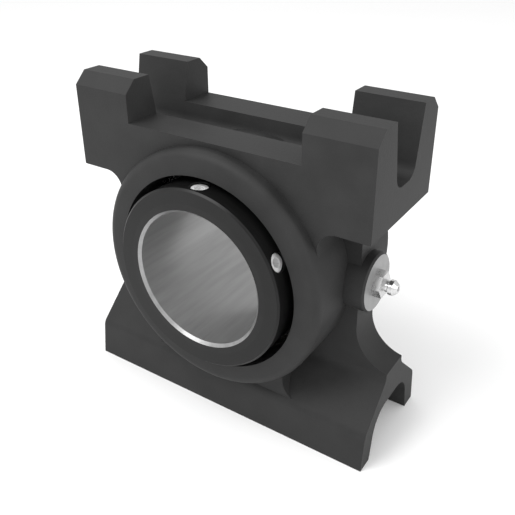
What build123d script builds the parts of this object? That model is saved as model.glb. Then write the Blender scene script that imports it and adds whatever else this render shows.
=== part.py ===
from build123d import *
from math import cos, radians, sin, sqrt, tan
import os

# Take-up bearing unit: a one-piece cast housing with a spherical seat, guided by a
# groove above and a channel below, and a wide ball bearing insert locked to its
# shaft by a set-screw collar. Millimetres. The origin is the bearing's centre:
# X runs along the slides, -Y is the locking side of the shaft axis, Z is up.

# Bearing insert
shaft_diameter = 60.0
inner_race_wall = 3.2  # bore to the bottom of the inner raceway
outer_race_wall = 3.2  # bottom of the outer raceway to the spherical outside
ball_diameter = 11.112
ball_count = 12
race_clearance = 0.015  # ball to the bottom of each raceway
race_conformity = 0.52  # raceway radius as a share of the ball diameter
shoulder_height = 2.3  # raceway bottom to shoulder
outer_ring_width = 22.0
inner_ring_front = 39.7  # centre to the locking-side face
inner_ring_back = 25.4  # centre to the other face
inner_ring_chamfer = 1.2
extension_wall = 4.0  # inner ring wall under the collar
lubrication_hole_radius = 1.0
lubrication_hole_offset = 6.5  # from the ball plane towards the locking side

# Locking collar and its two set screws
collar_gap = 3.3  # collar to the housing mouth
collar_length = 24.0
collar_chamfer = 0.8
screw_radius = 4.0
screw_inset = 5.8  # collar face to screw axis
screw_angles = (90.0, 26.0)
screw_recess = 0.9  # screw below the collar's outside
screw_tip_gap = 0.15  # screw point to the bore surface, screws backed off
screw_hole_clearance = 0.3  # hole in the inner ring round the screw
socket_across_flats = 4.0
socket_depth = 4.0

# Cage: two pressed halves, riveted between the balls
cage_sheet = 0.8
cage_pocket_clearance = 0.15
cage_ring_gap = 1.0  # cage to the ring shoulders
rivet_radius = 0.8
rivet_head_radius = 1.4
rivet_head_height = 0.6

# Seals
seal_thickness = 1.3
seal_bead = 1.1  # how far the seal is let into the outer ring
seal_lip_gap = 0.03
seal_inset = 0.7  # seal face behind the ring face

# Housing hub
seat_clearance = 0.03  # spherical seat to the outer ring
mouth_lip = 3.7  # how far the mouth closes in over the ring
mouth_chamfer = 1.0
hub_wall = 6.5
hub_length = 68.0
hub_edge_radius = 4.0
crown_wall = 3.5  # iron over the seat inside the top groove
loading_slot_clearance = 0.6
grease_groove_depth = 1.2
grease_groove_front = 8.3  # ball plane to the groove's front edge
grease_groove_back = 2.3  # ball plane to the groove's back edge
grease_passage_radius = 2.0

# Top block: a trough between two cheeks, with an ear standing at each end
block_length = 141.4
block_thickness = 54.8
block_fillet = 8.0  # under the block, into the hub
trough_drop = 8.1  # hub top down to the trough floor
trough_floor_thickness = 13.9
trough_top_width = 26.0
trough_floor_width = 16.0
trough_corner_radius = 6.0
cheek_height = 10.2  # trough floor to the cheek tops
ear_height = 17.6  # cheek tops to the ear tops
ear_length = 29.0
ear_chamfer_depth = 5.6
ear_chamfer_height = 5.3

# Web between the block and the channel
web_thickness = 15.6
waist_margin = 4.8  # web beyond the hub on each side
flare_radius = 18.0

# Bottom channel
channel_length = 148.0
channel_mouth_width = 39.0
channel_roof_width = 31.0
channel_corner_radius = 12.0
channel_roof_wall = 5.9  # seat to channel roof
channel_depth = 21.6
channel_lip = 8.0  # wall thickness at the bottom edge
shoulder_drop = 4.1  # channel roof down to the outside shoulder
shoulder_draft = 2.2  # how far the outside leans in from edge to shoulder
shoulder_slope = 44.0  # degrees
shoulder_radius = 5.0
foot_radius = 6.0
foot_rise = 3.0  # ridge above the foot of the web
apron_radius = 10.0  # hub into the channel's shoulders
apron_inset = 1.4

# Nipple boss and grease nipple
boss_radius = 12.9
boss_height = 4.2  # boss face beyond the waist
boss_chamfer = 0.8
thread_radius = 4.8
thread_depth = 7.5
hex_across_flats = 10.0
hex_height = 3.4
neck_radius = 2.5
nipple_neck_length = 2.4
nipple_head_radius = 3.3
nipple_head_length = 3.4
nipple_tip_radius = 1.9
nipple_bore_radius = 1.5
nipple_mouth_radius = 0.9
check_ball_radius = 1.3
check_ball_travel = 0.8
check_ball_clearance = 0.02
spring_radius = 1.05
spring_wire_radius = 0.2
spring_turns = 6

# Sizes that follow
bore_radius = shaft_diameter / 2
ball_radius = ball_diameter / 2
pitch_radius = bore_radius + inner_race_wall + ball_radius
seat_radius = pitch_radius + ball_radius + outer_race_wall
inner_shoulder = pitch_radius - ball_radius + shoulder_height
outer_shoulder = pitch_radius + ball_radius - shoulder_height
race_radius = race_conformity * ball_diameter
race_shift = race_radius - ball_radius - race_clearance
extension_radius = bore_radius + extension_wall
mouth_radius = seat_radius - mouth_lip
collar_radius = mouth_radius - collar_gap
collar_back = collar_length - inner_ring_front
screw_plane = screw_inset - inner_ring_front
hub_radius = seat_radius + hub_wall
crown_radius = seat_radius + crown_wall

trough_floor = hub_radius - trough_drop
block_bottom = trough_floor - trough_floor_thickness
cheek_top = trough_floor + cheek_height
ear_top = cheek_top + ear_height
waist = hub_radius + waist_margin

channel_roof = -seat_radius - channel_roof_wall
channel_bottom = channel_roof - channel_depth
edge_half = channel_mouth_width / 2 + channel_lip
shoulder_half = edge_half - shoulder_draft
shoulder_level = channel_roof - shoulder_drop
web_half = web_thickness / 2
foot_level = shoulder_level + (shoulder_half - web_half) * tan(radians(shoulder_slope))
ridge_level = foot_level + foot_rise

boss_face = waist + boss_height
far = 4 * hub_radius  # longer than anything it cuts

os.makedirs("parts", exist_ok=True)


def save(piece, name):
    """Label a finished piece and write it to its own file."""
    piece.label = name
    export_step(piece, f"parts/{name}.step")


def tangent_offset(level, radius):
    """Where a fillet of this radius, resting on a level, touches the hub: its centre's x."""
    return sqrt((hub_radius + radius) ** 2 - level**2)


# ---------------------------------------------------------------- housing casting
block_fillet_x = tangent_offset(block_bottom - block_fillet, block_fillet)
apron_level = shoulder_level + apron_radius
apron_x = tangent_offset(apron_level, apron_radius)

with BuildPart() as housing:
    # Hub: a drum round the shaft axis, its edges rounded
    with BuildSketch(Plane.XY) as hub_profile:
        with Locations((hub_radius / 2, 0)):
            Rectangle(hub_radius, hub_length)
        fillet(hub_profile.vertices().group_by(Axis.X)[-1], hub_edge_radius)
    revolve(axis=Axis.Y)

    # Top block, its outer top edges chamfered, drawn in its end view
    with BuildSketch(Plane.YZ.offset(-block_length / 2)):
        with BuildLine():
            Polyline(
                (-block_thickness / 2, block_bottom),
                (-block_thickness / 2, ear_top - ear_chamfer_height),
                (-block_thickness / 2 + ear_chamfer_depth, ear_top),
                (block_thickness / 2 - ear_chamfer_depth, ear_top),
                (block_thickness / 2, ear_top - ear_chamfer_height),
                (block_thickness / 2, block_bottom),
                close=True,
            )
        make_face()
    extrude(amount=block_length)

    # Between the ears the cheeks stop lower
    with BuildSketch(Plane.XZ.offset(-block_thickness / 2)):
        with Locations((0, cheek_top + ear_height)):
            Rectangle(block_length - 2 * ear_length, 2 * ear_height)
    extrude(amount=block_thickness, mode=Mode.SUBTRACT)

    # Fillets from the block's underside into the hub
    with BuildSketch(Plane.XZ.offset(-block_thickness / 2)):
        Polygon(
            (0, 0),
            (block_fillet_x, block_bottom - block_fillet),
            (block_fillet_x, block_bottom),
            (-block_fillet_x, block_bottom),
            (-block_fillet_x, block_bottom - block_fillet),
            align=None,
        )
        with Locations(
            (block_fillet_x, block_bottom - block_fillet),
            (-block_fillet_x, block_bottom - block_fillet),
        ):
            Circle(block_fillet, mode=Mode.SUBTRACT)
    extrude(amount=block_thickness)

    # Web: a straight waist that flares out along the channel's ridge
    with BuildSketch(Plane.XZ.offset(-web_half)):
        with Locations((0, (block_bottom + ridge_level) / 2)):
            Rectangle(2 * waist, block_bottom - ridge_level + 2 * foot_rise)
        with Locations((0, ridge_level + flare_radius / 2)):
            Rectangle(channel_length, flare_radius)
        with Locations(
            (waist + flare_radius, ridge_level + flare_radius),
            (-waist - flare_radius, ridge_level + flare_radius),
        ):
            Circle(flare_radius, mode=Mode.SUBTRACT)
    extrude(amount=web_thickness)

    # Channel: sloping shoulders under the web, drawn in its end view
    with BuildSketch(Plane.YZ.offset(-channel_length / 2)) as channel_outside:
        with BuildLine():
            Polyline(
                (-edge_half, channel_bottom),
                (-shoulder_half, shoulder_level),
                (-web_half, foot_level),
                (-web_half, ridge_level),
                (web_half, ridge_level),
                (web_half, foot_level),
                (shoulder_half, shoulder_level),
                (edge_half, channel_bottom),
                close=True,
            )
        make_face()
        fillet(channel_outside.vertices().group_by(Axis.Y)[1], shoulder_radius)
        fillet(channel_outside.vertices().group_by(Axis.Y)[-2], foot_radius)
    extrude(amount=channel_length)

    # Apron: the hub blends down into the channel's shoulders
    with BuildSketch(Plane.XZ.offset(apron_inset - shoulder_half)):
        Polygon(
            (0, 0),
            (apron_x, apron_level),
            (apron_x, shoulder_level),
            (-apron_x, shoulder_level),
            (-apron_x, apron_level),
            align=None,
        )
        with Locations((apron_x, apron_level), (-apron_x, apron_level)):
            Circle(apron_radius, mode=Mode.SUBTRACT)
    extrude(amount=2 * (shoulder_half - apron_inset))

    # Boss for the grease nipple
    with BuildSketch(Plane.YZ.offset(pitch_radius)):
        Circle(boss_radius)
    extrude(amount=boss_face - pitch_radius)
    boss_rim = housing.edges().filter_by(GeomType.CIRCLE).filter_by(lambda rim: abs(rim.radius - boss_radius) < 0.01)
    chamfer(boss_rim.sort_by(Axis.X)[-1], boss_chamfer)

    # Trough for the upper slide, open at both ends
    with BuildSketch(Plane.YZ.offset(-far / 2)) as trough:
        with BuildLine():
            Polyline(
                (-trough_floor_width / 2, trough_floor),
                (-trough_top_width / 2, ear_top),
                (trough_top_width / 2, ear_top),
                (trough_floor_width / 2, trough_floor),
                close=True,
            )
        make_face()
        fillet(trough.vertices().group_by(Axis.Y)[0], trough_corner_radius)
    extrude(amount=far, mode=Mode.SUBTRACT)

    # Channel for the lower slide, open at both ends
    with BuildSketch(Plane.YZ.offset(-far / 2)) as channel_inside:
        with BuildLine():
            Polyline(
                (-channel_mouth_width / 2, channel_bottom),
                (-channel_roof_width / 2, channel_roof),
                (channel_roof_width / 2, channel_roof),
                (channel_mouth_width / 2, channel_bottom),
                close=True,
            )
        make_face()
        fillet(channel_inside.vertices().group_by(Axis.Y)[-1], channel_corner_radius)
    extrude(amount=far, mode=Mode.SUBTRACT)

    # Crown over the seat, then the seat, the mouths and the loading slots
    Sphere(crown_radius)
    Cylinder(mouth_radius, far, rotation=(90, 0, 0), mode=Mode.SUBTRACT)
    Sphere(seat_radius + seat_clearance, mode=Mode.SUBTRACT)
    with BuildSketch(Plane.XZ):
        Circle(seat_radius + loading_slot_clearance)
        Rectangle(outer_ring_width + 2 * loading_slot_clearance, far, mode=Mode.INTERSECT)
    extrude(amount=-hub_length, mode=Mode.SUBTRACT)

    # Grease groove round the seat, nipple hole and passage
    with BuildSketch(Plane.XY):
        with Locations((seat_radius, (grease_groove_back - grease_groove_front) / 2)):
            Rectangle(2 * grease_groove_depth, grease_groove_front + grease_groove_back)
    revolve(axis=Axis.Y, mode=Mode.SUBTRACT)
    with BuildSketch(Plane.YZ.offset(boss_face)):
        Circle(thread_radius)
    extrude(amount=-thread_depth, mode=Mode.SUBTRACT)
    with BuildSketch(Plane.YZ.offset(pitch_radius)):
        Circle(grease_passage_radius)
    extrude(amount=boss_face - pitch_radius, mode=Mode.SUBTRACT)
save(housing.part, "housing")

# ---------------------------------------------------------------- bearing rings
seal_seat = outer_ring_width / 2 - seal_inset - seal_thickness
seal_outside = outer_shoulder + seal_bead

with BuildPart() as outer_ring:
    with BuildSketch(Plane.XY):
        Circle(seat_radius)
        with Locations(((outer_shoulder + far) / 2, 0)):
            Rectangle(far - outer_shoulder, outer_ring_width, mode=Mode.INTERSECT)
        with Locations((pitch_radius - race_shift, 0)):
            Circle(race_radius, mode=Mode.SUBTRACT)
        with Locations((outer_shoulder, seal_seat + far / 2), (outer_shoulder, -seal_seat - far / 2)):
            Rectangle(2 * seal_bead, far, mode=Mode.SUBTRACT)
    revolve(axis=Axis.Y)
    with BuildSketch(Plane.YZ.offset(-far / 2)):
        with Locations((-lubrication_hole_offset, 0)):
            Circle(lubrication_hole_radius)
    extrude(amount=far, mode=Mode.SUBTRACT)
save(outer_ring.part, "outer_ring")

with BuildPart() as inner_ring:
    with BuildSketch(Plane.XY) as inner_section:
        with BuildLine():
            Polyline(
                (bore_radius, -inner_ring_front + inner_ring_chamfer),
                (bore_radius + inner_ring_chamfer, -inner_ring_front),
                (extension_radius, -inner_ring_front),
                (extension_radius, collar_back),
                (inner_shoulder, collar_back),
                (inner_shoulder, inner_ring_back - inner_ring_chamfer),
                (inner_shoulder - inner_ring_chamfer, inner_ring_back),
                (bore_radius + inner_ring_chamfer, inner_ring_back),
                (bore_radius, inner_ring_back - inner_ring_chamfer),
                close=True,
            )
        make_face()
        with Locations((pitch_radius + race_shift, 0)):
            Circle(race_radius, mode=Mode.SUBTRACT)
    revolve(axis=Axis.Y)
    for angle in screw_angles:
        radial = Plane(origin=(0, screw_plane, 0), z_dir=(cos(radians(angle)), 0, sin(radians(angle))))
        with BuildSketch(radial):
            Circle(screw_radius + screw_hole_clearance)
        extrude(amount=collar_radius, mode=Mode.SUBTRACT)
save(inner_ring.part, "inner_ring")

# ---------------------------------------------------------------- locking collar
with BuildPart() as locking_collar:
    with BuildSketch(Plane.XY) as collar_section:
        with BuildLine():
            Polyline(
                (extension_radius, -inner_ring_front),
                (collar_radius, -inner_ring_front),
                (collar_radius, collar_back),
                (extension_radius, collar_back),
                close=True,
            )
        make_face()
        chamfer(collar_section.vertices().group_by(Axis.X)[-1], collar_chamfer)
    revolve(axis=Axis.Y)
    for angle in screw_angles:
        radial = Plane(origin=(0, screw_plane, 0), z_dir=(cos(radians(angle)), 0, sin(radians(angle))))
        with BuildSketch(radial):
            Circle(screw_radius)
        extrude(amount=2 * collar_radius, mode=Mode.SUBTRACT)
save(locking_collar.part, "locking_collar")

screw_bottom = bore_radius + screw_tip_gap
screw_top = collar_radius - screw_recess
for name, angle in zip(("set_screw_top", "set_screw_side"), screw_angles):
    radial = Plane(origin=(0, screw_plane, 0), z_dir=(cos(radians(angle)), 0, sin(radians(angle))))
    with BuildPart() as set_screw:
        with BuildSketch(radial.offset(screw_bottom)):
            Circle(screw_radius)
        extrude(amount=screw_top - screw_bottom)
        chamfer(set_screw.edges().filter_by(GeomType.CIRCLE), screw_radius / 8)
        with BuildSketch(radial.offset(screw_top)):
            RegularPolygon(socket_across_flats / 2, 6, major_radius=False)
        extrude(amount=-socket_depth, mode=Mode.SUBTRACT)
    save(set_screw.part, name)

# ---------------------------------------------------------------- balls and cage
ball_step = 360 / ball_count
for index in range(ball_count):
    angle = radians(90 + index * ball_step)
    with BuildPart() as ball:
        with Locations((pitch_radius * cos(angle), 0, pitch_radius * sin(angle))):
            Sphere(ball_radius)
    save(ball.part, f"ball_{index + 1:02d}")

pocket_radius = ball_radius + cage_pocket_clearance
cup_radius = pocket_radius + cage_sheet
cage_inside = inner_shoulder + cage_ring_gap
cage_outside = outer_shoulder - cage_ring_gap

with BuildPart(Plane.XZ) as cage_front:
    with PolarLocations(pitch_radius, ball_count, start_angle=90):
        Sphere(cup_radius)
    with BuildSketch(Plane.XZ):
        Circle(cage_outside)
        Circle(cage_inside, mode=Mode.SUBTRACT)
    extrude(amount=2 * cup_radius, mode=Mode.INTERSECT)
    with BuildSketch(Plane.XZ):
        Circle(cage_outside)
        Circle(cage_inside, mode=Mode.SUBTRACT)
    extrude(amount=cage_sheet)
    with PolarLocations(pitch_radius, ball_count, start_angle=90):
        Sphere(pocket_radius, mode=Mode.SUBTRACT)
    with BuildSketch(Plane.XZ):
        with PolarLocations(pitch_radius, ball_count, start_angle=90 + ball_step / 2):
            Circle(rivet_radius)
    extrude(amount=cage_sheet, mode=Mode.SUBTRACT)
save(cage_front.part, "cage_front")

with BuildPart() as cage_back:
    mirror(cage_front.part, about=Plane.XZ)
save(cage_back.part, "cage_back")

with BuildPart() as cage_rivets:
    with BuildSketch(Plane.XZ.offset(-cage_sheet)):
        with PolarLocations(pitch_radius, ball_count, start_angle=90 + ball_step / 2):
            Circle(rivet_radius)
    extrude(amount=2 * cage_sheet)
    with BuildSketch(Plane.XZ.offset(cage_sheet), Plane.XZ.offset(-cage_sheet - rivet_head_height)):
        with PolarLocations(pitch_radius, ball_count, start_angle=90 + ball_step / 2):
            Circle(rivet_head_radius)
    extrude(amount=rivet_head_height)
save(cage_rivets.part, "cage_rivets")

# ---------------------------------------------------------------- seals
lip_radius = inner_shoulder + seal_lip_gap
with BuildPart() as seal_back:
    with BuildSketch(Plane.XY):
        with BuildLine():
            Polyline(
                (seal_outside, seal_seat),
                (seal_outside, seal_seat + seal_thickness),
                (outer_shoulder - seal_bead, seal_seat + seal_thickness),
                (lip_radius + seal_bead, seal_seat + seal_thickness),
                (lip_radius, seal_seat + seal_thickness),
                (lip_radius + seal_bead / 2, seal_seat + seal_thickness / 2),
                (lip_radius + seal_bead, seal_seat + seal_thickness / 2),
                (outer_shoulder - seal_bead, seal_seat + seal_thickness / 2),
                (outer_shoulder - seal_bead / 2, seal_seat),
                close=True,
            )
        make_face()
    revolve(axis=Axis.Y)
save(seal_back.part, "seal_back")

with BuildPart() as seal_front:
    mirror(seal_back.part, about=Plane.XZ)
save(seal_front.part, "seal_front")

# ---------------------------------------------------------------- grease nipple
hex_top = boss_face + hex_height
neck_top = hex_top + nipple_neck_length
nipple_tip = neck_top + nipple_head_length
check_seat = nipple_tip - nipple_mouth_radius - check_ball_radius / 2
thread_end = boss_face - thread_depth

with BuildPart() as grease_nipple:
    with BuildSketch(Plane.YZ.offset(boss_face)):
        RegularPolygon(hex_across_flats / 2, 6, major_radius=False)
    extrude(amount=hex_height)
    with BuildSketch(Plane.XY) as nipple_profile:
        with BuildLine():
            Polyline(
                (thread_end, 0),
                (thread_end, thread_radius - boss_chamfer),
                (thread_end + boss_chamfer, thread_radius),
                (boss_face, thread_radius),
                (hex_top, thread_radius),
                (hex_top, neck_radius),
                (neck_top - neck_radius / 4, neck_radius),
                (neck_top, nipple_head_radius),
                (nipple_tip - nipple_head_length / 2, nipple_head_radius),
                (nipple_tip, nipple_tip_radius),
                (nipple_tip, 0),
                close=True,
            )
        make_face()
    revolve(axis=Axis.X)
    with BuildSketch(Plane.XY):
        with BuildLine():
            Polyline(
                (thread_end, 0),
                (thread_end, nipple_bore_radius),
                (check_seat, nipple_bore_radius),
                (check_seat + nipple_bore_radius - nipple_mouth_radius, nipple_mouth_radius),
                (nipple_tip, nipple_mouth_radius),
                (nipple_tip, 0),
                close=True,
            )
        make_face()
    revolve(axis=Axis.X, mode=Mode.SUBTRACT)
save(grease_nipple.part, "grease_nipple")

# The check ball rests on the 45 degree cone that closes the bore behind the tip
check_ball_x = check_seat + nipple_bore_radius - sqrt(2) * (check_ball_radius + check_ball_clearance)
with BuildPart() as check_ball:
    with Locations((check_ball_x, 0, 0)):
        Sphere(check_ball_radius)
save(check_ball.part, "check_ball")

spring_end = check_ball_x - check_ball_radius - spring_wire_radius
spring_start = thread_end + spring_wire_radius + 2 * check_ball_travel
with BuildPart() as nipple_spring:
    with BuildLine() as coil:
        Helix(
            (spring_end - spring_start) / spring_turns,
            spring_end - spring_start,
            spring_radius,
            center=(spring_start, 0, 0),
            direction=(1, 0, 0),
        )
    with BuildSketch(Plane(origin=coil.line @ 0, z_dir=coil.line % 0)):
        Circle(spring_wire_radius)
    sweep(path=coil.line)
save(nipple_spring.part, "nipple_spring")
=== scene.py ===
from math import radians
import bpy
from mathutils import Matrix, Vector


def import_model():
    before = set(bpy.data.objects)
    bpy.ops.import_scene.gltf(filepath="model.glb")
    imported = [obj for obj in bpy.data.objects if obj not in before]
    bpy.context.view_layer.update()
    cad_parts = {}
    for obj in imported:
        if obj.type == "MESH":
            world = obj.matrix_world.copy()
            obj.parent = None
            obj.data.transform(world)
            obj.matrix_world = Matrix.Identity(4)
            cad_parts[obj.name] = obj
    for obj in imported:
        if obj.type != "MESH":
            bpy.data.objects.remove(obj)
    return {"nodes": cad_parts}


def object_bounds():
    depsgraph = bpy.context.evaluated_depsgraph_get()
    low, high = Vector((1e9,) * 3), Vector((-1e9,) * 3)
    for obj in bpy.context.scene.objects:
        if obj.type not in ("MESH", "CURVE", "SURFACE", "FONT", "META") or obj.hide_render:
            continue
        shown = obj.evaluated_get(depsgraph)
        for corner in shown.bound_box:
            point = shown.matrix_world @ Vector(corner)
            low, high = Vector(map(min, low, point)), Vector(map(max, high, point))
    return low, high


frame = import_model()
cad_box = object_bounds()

# ---------------------------------------------------------------- node helpers


def new_material(name):
    """A node material with an empty Principled shader, and a small graph helper."""
    mat = bpy.data.materials.new(name)
    mat.use_nodes = True
    return mat, mat.node_tree.nodes["Principled BSDF"]


def add(mat, kind, **inputs):
    """Add a shader node and set its plain inputs."""
    node = mat.node_tree.nodes.new(kind)
    for key, value in inputs.items():
        node.inputs[key.replace("_", " ")].default_value = value
    return node


def link(mat, out, into):
    mat.node_tree.links.new(out, into)


def ramp(mat, source, stops):
    """Colour ramp from a 0..1 value to the given (position, colour) stops."""
    node = mat.node_tree.nodes.new("ShaderNodeValToRGB")
    band = node.color_ramp
    band.elements[0].position, band.elements[0].color = stops[0][0], (*stops[0][1], 1)
    band.elements[1].position, band.elements[1].color = stops[-1][0], (*stops[-1][1], 1)
    for position, colour in stops[1:-1]:
        band.elements.new(position).color = (*colour, 1)
    link(mat, source, node.inputs["Fac"])
    return node.outputs["Color"]


def noise(mat, scale, detail=4.0, stretch=None):
    """Object-space noise, stretched along an axis where asked."""
    coords = mat.node_tree.nodes.new("ShaderNodeTexCoord").outputs["Object"]
    if stretch:
        mapping = mat.node_tree.nodes.new("ShaderNodeMapping")
        mapping.inputs["Scale"].default_value = stretch
        link(mat, coords, mapping.inputs["Vector"])
        coords = mapping.outputs["Vector"]
    node = add(mat, "ShaderNodeTexNoise", Scale=scale, Detail=detail)
    link(mat, coords, node.inputs["Vector"])
    return node.outputs["Fac"]


def bump(mat, shader, height, strength, distance):
    node = add(mat, "ShaderNodeBump", Strength=strength, Distance=distance)
    link(mat, height, node.inputs["Height"])
    link(mat, node.outputs["Normal"], shader.inputs["Normal"])


def roughness(mat, shader, source, low, high):
    """Let a 0..1 value move the roughness between two limits."""
    node = add(mat, "ShaderNodeMapRange")
    node.inputs["To Min"].default_value = low
    node.inputs["To Max"].default_value = high
    link(mat, source, node.inputs["Value"])
    link(mat, node.outputs["Result"], shader.inputs["Roughness"])


# ---------------------------------------------------------------- materials


def grey(level, warm=0.0):
    return (level * (1 + warm), level, level * (1 - warm))


def painted_iron():
    """Dark grey satin paint over the fine skin of a sand casting."""
    mat, shader = new_material("painted_iron")
    mottle = noise(mat, 90.0, 5.0)
    colour = ramp(mat, mottle, [(0.3, grey(0.021)), (0.55, grey(0.025)), (0.8, grey(0.029))])
    link(mat, colour, shader.inputs["Base Color"])
    skin = noise(mat, 900.0, 6.0)
    roughness(mat, shader, mottle, 0.52, 0.66)
    bump(mat, shader, skin, 0.22, 0.0003)
    shader.inputs["Specular IOR Level"].default_value = 0.22
    return mat


def steel(name, level, rough, warm=0.0, stretch=None, metallic=1.0):
    """Bare or plated steel with the marks of its finishing."""
    mat, shader = new_material(name)
    marks = noise(mat, 420.0, 5.0, stretch)
    colour = ramp(mat, marks, [(0.3, grey(level * 0.88, warm)), (0.7, grey(level * 1.08, warm))])
    link(mat, colour, shader.inputs["Base Color"])
    shader.inputs["Metallic"].default_value = metallic
    roughness(mat, shader, marks, rough * 0.8, rough * 1.2)
    bump(mat, shader, marks, 0.08, 0.0001)
    return mat


def black_oxide(name, level):
    """Blackened, finely turned steel."""
    mat, shader = new_material(name)
    turned = noise(mat, 300.0, 4.0, (0.4, 6.0, 0.4))
    colour = ramp(mat, turned, [(0.3, grey(level * 0.8)), (0.7, grey(level * 1.25))])
    link(mat, colour, shader.inputs["Base Color"])
    shader.inputs["Metallic"].default_value = 0.1
    shader.inputs["Specular IOR Level"].default_value = 0.25
    roughness(mat, shader, turned, 0.32, 0.45)
    bump(mat, shader, turned, 0.1, 0.0001)
    return mat


def rubber():
    mat, shader = new_material("seal_rubber")
    grain = noise(mat, 700.0, 4.0)
    link(mat, ramp(mat, grain, [(0.3, grey(0.008)), (0.7, grey(0.014))]), shader.inputs["Base Color"])
    roughness(mat, shader, grain, 0.6, 0.75)
    bump(mat, shader, grain, 0.15, 0.0001)
    return mat


iron = painted_iron()
black = black_oxide("ring_black", 0.008)
collar_black = black_oxide("collar_black", 0.006)
bore_steel = steel("bore_ground", 0.33, 0.34, stretch=(1.0, 0.08, 1.0), metallic=0.75)
ring_ground = steel("ring_ground", 0.45, 0.25, stretch=(0.3, 8.0, 0.3))
zinc = steel("nipple_zinc", 0.62, 0.28)
screw_zinc = steel("screw_zinc", 0.85, 0.40, metallic=0.2)
polished = steel("ball_polished", 0.72, 0.07)
pressed = steel("cage_pressed", 0.42, 0.34, warm=0.02)
machined = steel("boss_machined", 0.27, 0.34, stretch=(8.0, 0.6, 0.6), metallic=0.6)
wire = steel("spring_wire", 0.4, 0.3)

ball_nodes = [f"ball_{i:02d}" for i in range(1, 13)]
finish = {
    "housing": iron,
    "outer_ring": ring_ground,
    "inner_ring": black,
    "locking_collar": collar_black,
    "set_screw_top": screw_zinc,
    "set_screw_side": screw_zinc,
    "cage_front": pressed,
    "cage_back": pressed,
    "cage_rivets": pressed,
    "seal_front": rubber(),
    "seal_back": rubber(),
    "grease_nipple": zinc,
    "check_ball": polished,
    "nipple_spring": wire,
    **{name: polished for name in ball_nodes},
}


def carried(node):
    """The object that carries a CAD node."""
    return frame["nodes"][node]


def dress():
    """Give every CAD node its material."""
    for node, mat in finish.items():
        mesh = carried(node).data
        mesh.materials.clear()
        mesh.materials.append(mat)


def bare_faces(node, mat, test):
    """A second finish on the faces that a machining cut left."""
    mesh = carried(node).data
    mesh.materials.append(mat)
    slot = len(mesh.materials) - 1
    for face in mesh.polygons:
        if test(face.center, face.normal):
            face.material_index = slot


MM = 0.001
BORE_FINISH_RADIUS = 31.6 * MM  # the bore and its chamfers lie inside this
BOSS_HALF = 12.6 * MM  # the boss face lies within this of the nipple's axis
BOSS_FROM = 60 * MM  # and beyond this along X
FACING = 0.99  # how squarely a face must look along X

dress()
bare_faces("inner_ring", bore_steel, lambda c, n: (c.x**2 + c.z**2) ** 0.5 < BORE_FINISH_RADIUS)
bare_faces(
    "housing",
    machined,
    lambda c, n: n.x > FACING and max(abs(c.y), abs(c.z)) < BOSS_HALF and c.x > BOSS_FROM,
)

# ---------------------------------------------------------------- floor, light, camera
low = cad_box[0][2]


def stage_floor():
    """A pale floor that the part stands on."""
    mesh = bpy.data.meshes.new("floor")
    half = 6.0
    corners = [(-half, -half, low), (half, -half, low), (half, half, low), (-half, half, low)]
    mesh.from_pydata(corners, [], [(0, 1, 2, 3)])
    obj = bpy.data.objects.new("floor", mesh)
    bpy.context.collection.objects.link(obj)
    mat, shader = new_material("floor_white")
    shader.inputs["Base Color"].default_value = (0.93, 0.93, 0.93, 1)
    shader.inputs["Roughness"].default_value = 0.9
    shader.inputs["Specular IOR Level"].default_value = 0.1
    mesh.materials.append(mat)


def light(name, place, size, power):
    """A soft rectangular lamp aimed at the part."""
    data = bpy.data.lights.new(name, "AREA")
    data.shape = "SQUARE"
    data.size = size
    data.energy = power
    obj = bpy.data.objects.new(name, data)
    obj.location = place
    obj.rotation_euler = (-Vector(place)).to_track_quat("-Z", "Y").to_euler()
    bpy.context.collection.objects.link(obj)


def world(level):
    w = bpy.data.worlds.new("studio")
    w.use_nodes = True
    background = w.node_tree.nodes["Background"]
    background.inputs["Color"].default_value = (1, 1, 1, 1)
    background.inputs["Strength"].default_value = level
    bpy.context.scene.world = w


def camera(place, azimuth, elevation, lens, shift):
    data = bpy.data.cameras.new("camera")
    data.lens = lens
    data.sensor_width = 36.0
    data.shift_x, data.shift_y = shift
    data.clip_start = 0.01
    data.clip_end = 50
    obj = bpy.data.objects.new("camera", data)
    obj.location = place
    obj.rotation_euler = (radians(90 - elevation), 0, radians(azimuth))
    bpy.context.collection.objects.link(obj)
    bpy.context.scene.camera = obj


stage_floor()
world(0.95)
light("key", (-0.35, -0.55, 0.85), 0.6, 7.0)
light("side", (0.9, -0.15, 0.45), 0.5, 2.5)
bpy.context.scene.view_settings.view_transform = "Standard"
camera((0.1525, -0.2207, 0.1481), 33.16, 26.59, 47.18, (-0.0144, -0.0837))
